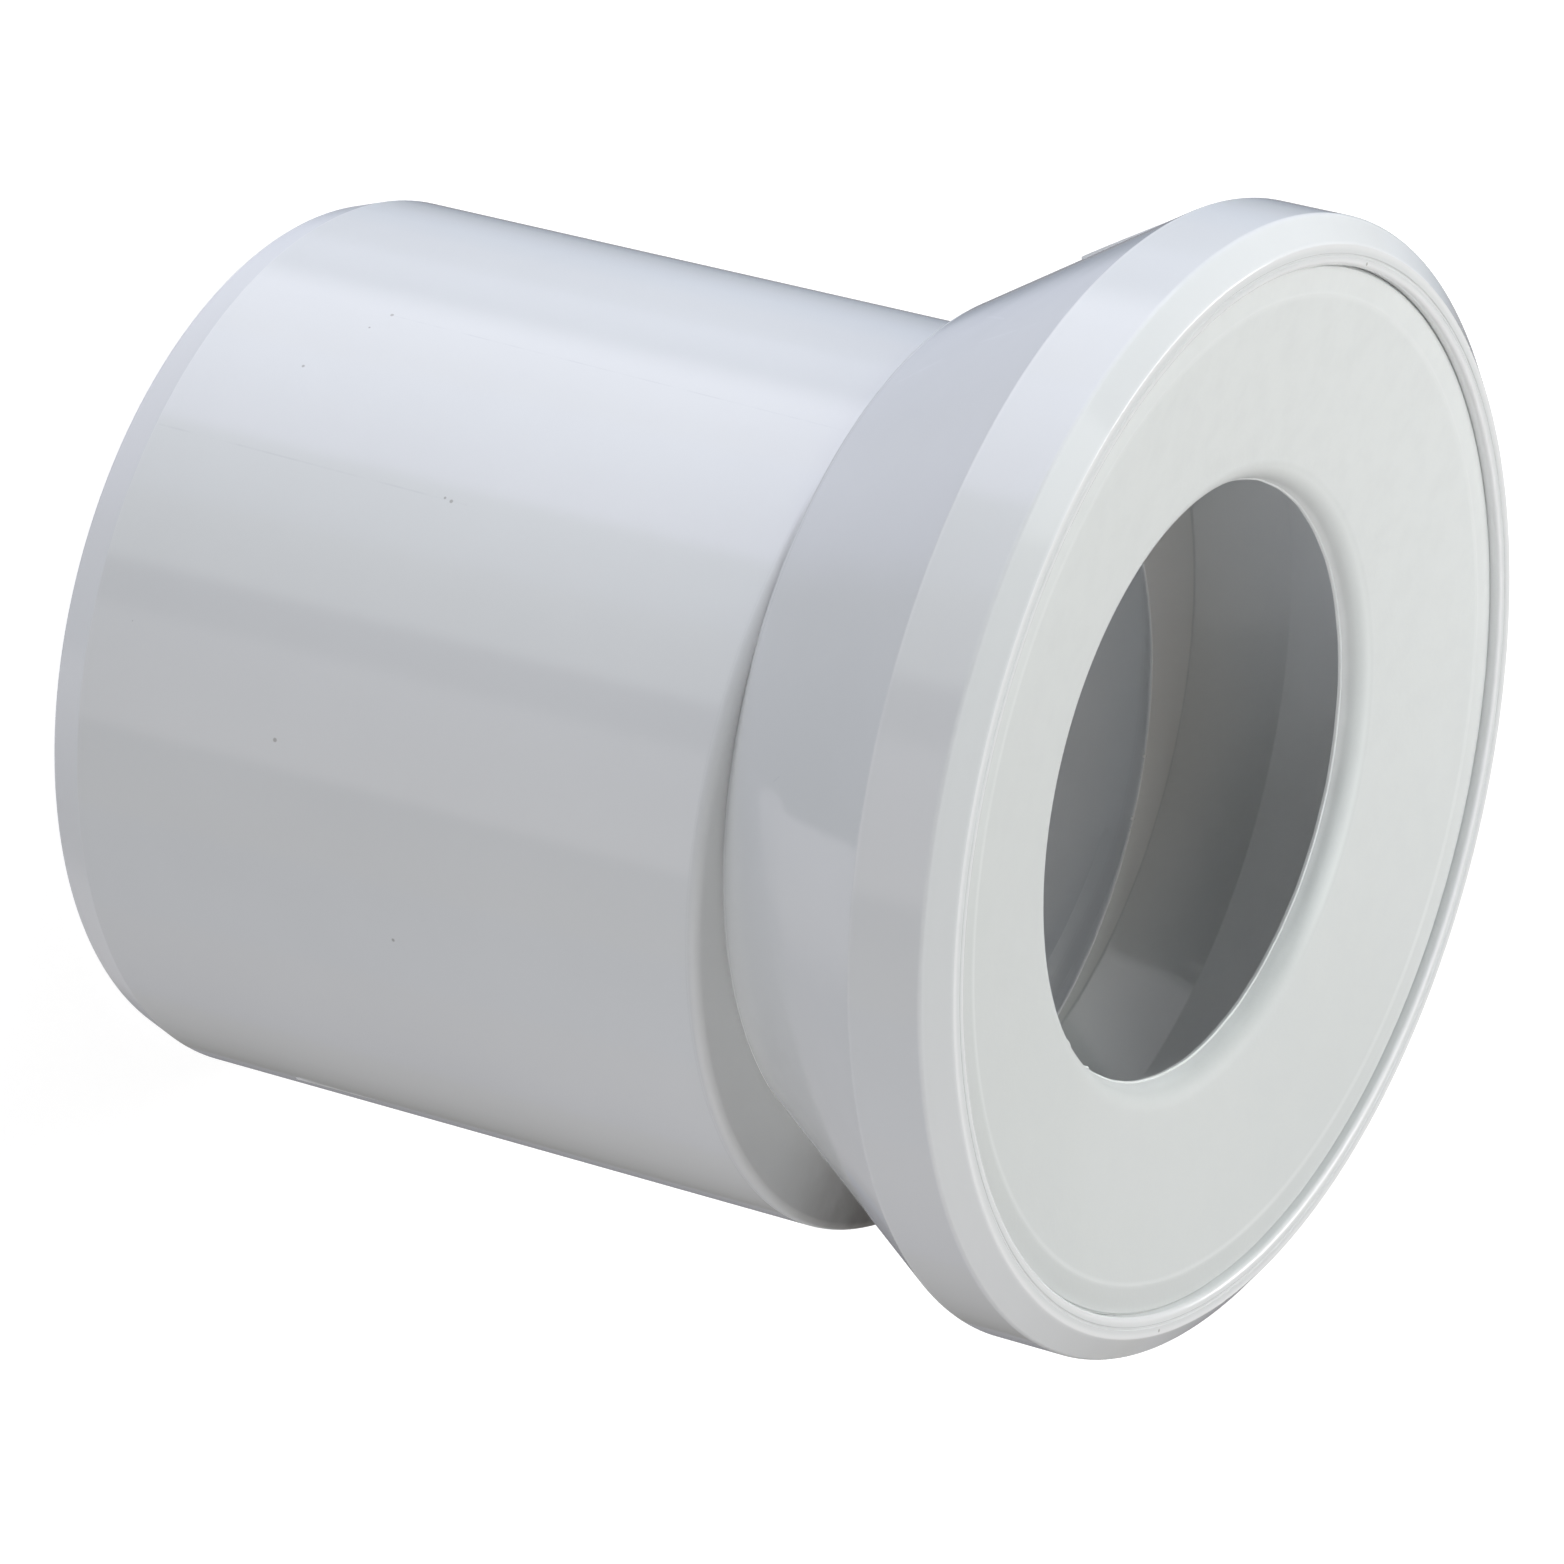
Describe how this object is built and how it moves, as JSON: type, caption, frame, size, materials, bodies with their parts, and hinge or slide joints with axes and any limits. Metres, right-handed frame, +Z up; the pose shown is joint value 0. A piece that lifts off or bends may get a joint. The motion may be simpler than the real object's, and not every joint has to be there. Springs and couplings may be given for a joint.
{
  "type": "toilet pan connector",
  "caption": "Eccentric toilet pan connector: a straight chamfered spigot, an offset flared socket and a flexible lip seal that grips the pan outlet and joins it to the soil pipe.",
  "frame": {"origin": "on the spigot's axis, in the plane of its end face", "axes": "+Z runs up the spigot and out of the mouth; +X points the way the socket is offset from the spigot; +Y follows the right-hand rule"},
  "size_m": [0.1392, 0.1392, 0.1326],
  "materials": {
    "white_plastic": "glossy moulded cool white",
    "pale_rubber": "matte pale greenish white"
  },
  "bodies": {
    "root": {"connector_body": "white_plastic", "lip_seal": "pale_rubber"}
  },
  "joints": []
}
